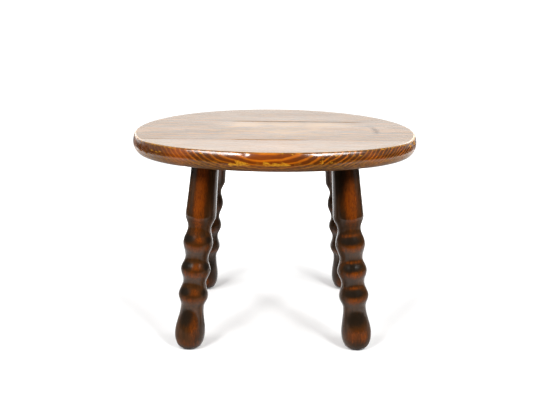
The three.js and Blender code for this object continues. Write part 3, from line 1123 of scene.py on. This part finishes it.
def make_board(place, low_y, high_y, material, seed, lines):
    """A seat board between two places along Y."""
    shape = seat_section(low_y, high_y)
    points, marks = shape_section(shape, seed)
    faces = [[v.index for v in face.verts] for face in shape.faces]
    shape.free()
    piece = new_piece("board_" + place, points, faces, material, marks)
    cutters = socket_cutters(low_y, high_y, lines, material)
    cut_away(piece, cutters)
    remove(cutters)
    smooth_shade(piece, 40)
    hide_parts("seat_board_" + place)
    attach(piece, BODY)


# ---------------- camera, floor and light

# The camera in metres, millimetres and radians
CAMERA_PLACE = (0.0037, -1.0543, 0.4469)
FOCAL_LENGTH = 56.16
PITCH = 0.2703
ROLL = 0.0080
HEADING = 0.0127

# The floor's edges in metres
FLOOR_HALF_WIDTH = 0.8
FLOOR_FRONT = -0.42
FLOOR_BACK = 0.9

# What the studio's walls give off: in front, at the sides, behind, and more in two strips that
# stand a little to each side of straight behind
FRONT_GLOW = 0.06
SIDE_GLOW = 0.42
BACK_GLOW = 1.26
STRIP_GLOW = 1.7


def make_camera():
    """The viewpoint: a little above the seat, square on to the front."""
    data = bpy.data.cameras.new("camera")
    data.sensor_width = 36.0
    data.lens = FOCAL_LENGTH
    data.clip_start = 0.01
    data.clip_end = 200
    camera = bpy.data.objects.new("camera", data)
    bpy.context.scene.collection.objects.link(camera)
    turn = Matrix.Rotation(HEADING, 3, "Z")
    forward = turn @ Vector((0, math.cos(PITCH), -math.sin(PITCH)))
    right = turn @ Vector((1, 0, 0))
    up = turn @ Vector((0, math.sin(PITCH), math.cos(PITCH)))
    rolled_right = math.cos(ROLL) * right + math.sin(ROLL) * up
    rolled_up = -math.sin(ROLL) * right + math.cos(ROLL) * up
    rotation = Matrix((rolled_right, rolled_up, -forward)).transposed()
    camera.matrix_world = Matrix.Translation(CAMERA_PLACE) @ rotation.to_4x4()
    bpy.context.scene.camera = camera


def make_floor():
    """A sheet of white paper that glows: painted light that grows away from the stool and behind it,
    lifting the shadows there so the paper fades into the white surroundings.
    """
    g = Graph(bpy.data.materials.new("floor_paper_with_painted_glow"))
    place = g.place()
    distance = g.node("ShaderNodeVectorMath", {0: place}, operation="LENGTH").outputs["Value"]
    color = g.mix(g.noise(place, 3.0, scale=0.004), rgb(0.78, 0.78, 0.78), rgb(0.8, 0.8, 0.8))
    # Painted light: the paper's emission rises away from the stool and towards the back, brightening
    # where the stool's shadows fall
    away = g.smooth(distance, 180.0, 650.0, 0.0, 0.8)
    glow = g.add(away, g.smooth(g.split(place)[1], 40.0, 190.0, 0.0, 0.2))
    material = g.finish(color, 0.9, specular_ior_level=0.0, emission_color=WHITE, emission_strength=glow)
    corners = [
        (-FLOOR_HALF_WIDTH, FLOOR_FRONT, 0),
        (FLOOR_HALF_WIDTH, FLOOR_FRONT, 0),
        (FLOOR_HALF_WIDTH, FLOOR_BACK, 0),
        (-FLOOR_HALF_WIDTH, FLOOR_BACK, 0),
    ]
    floor = new_piece("floor", corners, [(0, 1, 2, 3)], material)


def softbox(name, azimuth, elevation, distance, size, radiance, only_in_reflections=False):
    """A rectangular light, placed by degrees round from the front (+ towards +X) and degrees up."""
    data = bpy.data.lights.new(name, "AREA")
    data.shape = "RECTANGLE"
    data.size, data.size_y = size
    data.energy = radiance * math.pi * size[0] * size[1]
    light = bpy.data.objects.new(name, data)
    bpy.context.scene.collection.objects.link(light)
    light.visible_camera = False
    light.visible_diffuse = not only_in_reflections
    a, e = math.radians(azimuth), math.radians(elevation)
    direction = Vector((math.sin(a) * math.cos(e), -math.cos(a) * math.cos(e), math.sin(e)))
    light.location = Vector((0, 0, SEAT_TOP)) + distance * direction
    light.rotation_euler = direction.to_track_quat("Z", "Y").to_euler()


def make_world():
    """Studio walls, brighter behind than in front, that the camera itself sees as plain white."""
    world = bpy.data.worlds.new("studio")
    bpy.context.scene.world = world
    g = Graph(world)
    direction = g.node("ShaderNodeTexCoord").outputs["Generated"]
    flat = g.stretched(direction, (1, 1, 0))
    heading = g.node("ShaderNodeVectorMath", {0: flat}, operation="NORMALIZE").outputs[0]
    across, back = g.split(heading)[:2]
    up = g.split(direction)[2]
    walls = g.smooth(back, -0.5, -0.3, FRONT_GLOW, SIDE_GLOW)
    behind = g.smooth(back, 0.55, 0.9, 0.0, BACK_GLOW - SIDE_GLOW)
    strips = g.smooth(back, 0.78, 0.86, 0.0, STRIP_GLOW)
    strips = g.times(strips, g.smooth(back, 0.955, 0.985, 1.0, 0.0))
    strips = g.times(strips, g.smooth(across, -0.1, 0.1, 1.0, 1.6))
    strips = g.times(strips, g.smooth(up, 0.3, 0.55, 1.0, 0.0))
    behind = g.times(g.add(behind, strips), g.smooth(up, 0.45, 0.75, 1.0, 0.0))
    glow = g.times(g.add(walls, behind), g.smooth(up, -0.05, 0.0, 0.1, 1.0))
    seen = g.node("ShaderNodeLightPath").outputs["Is Camera Ray"]
    inputs = {"Color": WHITE, "Strength": g.math("MAXIMUM", glow, seen)}
    background = g.node("ShaderNodeBackground", inputs)
    g.node("ShaderNodeOutputWorld", {0: background.outputs[0]})


def make_light():
    """Two windows and two lamps in front, and a pane at each window that only reflections show."""
    make_world()
    softbox("window_left", -52, 33, 1.6, (1.1, 0.6), 9)
    softbox("window_right", 52, 33, 1.6, (1.1, 0.6), 9)
    softbox("pane_left", -44, 34, 1.7, (1.15, 0.6), 8.5, only_in_reflections=True)
    softbox("pane_right", 46, 34, 1.7, (0.9, 0.6), 7.5, only_in_reflections=True)
    softbox("lamp_left", -31, 31, 1.8, (0.3, 0.3), 36)
    softbox("lamp_right", 36, 31, 1.8, (0.3, 0.3), 36)


# ---------------- assembly

# The gap between the boards, and a Y beyond the seat's edge
SEAM = 0.03 * MM
BEYOND = 2 * HALF_DEPTH

# The boards: place, lowest and highest Y, pith (Y, height and drift along X), tone, seed
BOARDS = [
    ("front", -BEYOND, -JOINT_Y - SEAM / 2, (-41.0, 150.0, 0.052), 0.0, 1),
    ("middle", -JOINT_Y + SEAM / 2, JOINT_Y - SEAM / 2, (8.0, 120.0, -0.03), 0.22, 2),
    ("rear", JOINT_Y + SEAM / 2, BEYOND, (52.0, 150.0, 0.04), 0.08, 3),
]

make_camera()
make_floor()
make_light()

leg_lines = [LegLine(place) for place in PLACES]
for place, low_y, high_y, pith, tone, seed in BOARDS:
    wood = seat_wood("seat_wood_" + place, pith, tone, float(seed))
    make_board(place, low_y, high_y, wood, seed, leg_lines)

for index, place in enumerate(PLACES):
    make_leg(place, leg_wood("leg_wood_" + place, 3.0 + 5.0 * index), 2.0 + index)

steel = glide_steel("glide_steel")
for place in PLACES:
    make_glide(place, steel)

hidden_wood = bare_wood("bare_wood")
for name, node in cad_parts.items():
    if name.startswith(("joint_dowel_", "tenon_wedge_")):
        node.data.materials.clear()
        node.data.materials.append(hidden_wood)

bpy.context.scene.view_settings.view_transform = "Standard"
bpy.context.scene.view_settings.look = "Medium High Contrast"
